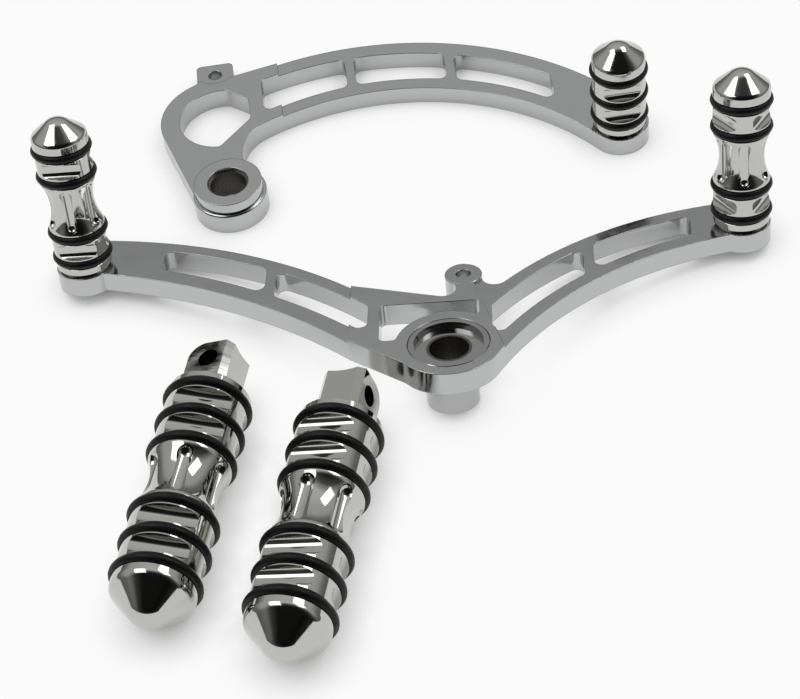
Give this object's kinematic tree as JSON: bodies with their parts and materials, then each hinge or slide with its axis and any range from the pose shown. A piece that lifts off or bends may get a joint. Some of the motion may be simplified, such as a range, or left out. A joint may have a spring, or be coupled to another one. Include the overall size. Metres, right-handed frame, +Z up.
{
  "type": "motorbike lever and foot peg kit",
  "caption": "Polished heel and toe shift lever and bowed brake lever with ringed pegs, and loose fluted foot pegs with rubber rings, laid out flat.",
  "frame": {"origin": "middle of the laid-out kit's plan box, on the surface it lies on", "axes": "+Z up from the surface, +Y from the foot pegs towards the brake lever, +X towards the heel peg"},
  "size_m": [0.2846, 0.3248, 0.0769],
  "materials": {
    "lever_plate": "chrome plated billet",
    "peg_polish": "turned and mirror polished",
    "sleeve_steel": "turned and plated",
    "bush_bronze": "plain sintered",
    "ring_rubber": "smooth black",
    "screw_steel": "plain zinc"
  },
  "bodies": {
    "root": {"brake_lever": "lever_plate", "brake_peg": "peg_polish", "brake_peg_ring_1": "ring_rubber", "brake_peg_ring_2": "ring_rubber", "brake_peg_ring_3": "ring_rubber", "brake_peg_screw": "screw_steel", "brake_pivot_bush": "bush_bronze", "heel_peg": "peg_polish", "heel_peg_ring_1": "ring_rubber", "heel_peg_ring_2": "ring_rubber", "heel_peg_ring_3": "ring_rubber", "heel_peg_ring_4": "ring_rubber", "heel_peg_screw": "screw_steel", "left_footpeg": "peg_polish", "left_footpeg_ring_1": "ring_rubber", "left_footpeg_ring_2": "ring_rubber", "left_footpeg_ring_3": "ring_rubber", "left_footpeg_ring_4": "ring_rubber", "left_footpeg_ring_5": "ring_rubber", "left_footpeg_ring_6": "ring_rubber", "right_footpeg": "peg_polish", "right_footpeg_ring_1": "ring_rubber", "right_footpeg_ring_2": "ring_rubber", "right_footpeg_ring_3": "ring_rubber", "right_footpeg_ring_4": "ring_rubber", "right_footpeg_ring_5": "ring_rubber", "right_footpeg_ring_6": "ring_rubber", "shift_lever": "lever_plate", "shift_pivot_bush": "bush_bronze", "shift_pivot_sleeve": "sleeve_steel", "toe_peg": "peg_polish", "toe_peg_ring_1": "ring_rubber", "toe_peg_ring_2": "ring_rubber", "toe_peg_ring_3": "ring_rubber", "toe_peg_ring_4": "ring_rubber", "toe_peg_screw": "screw_steel"}
  },
  "joints": []
}
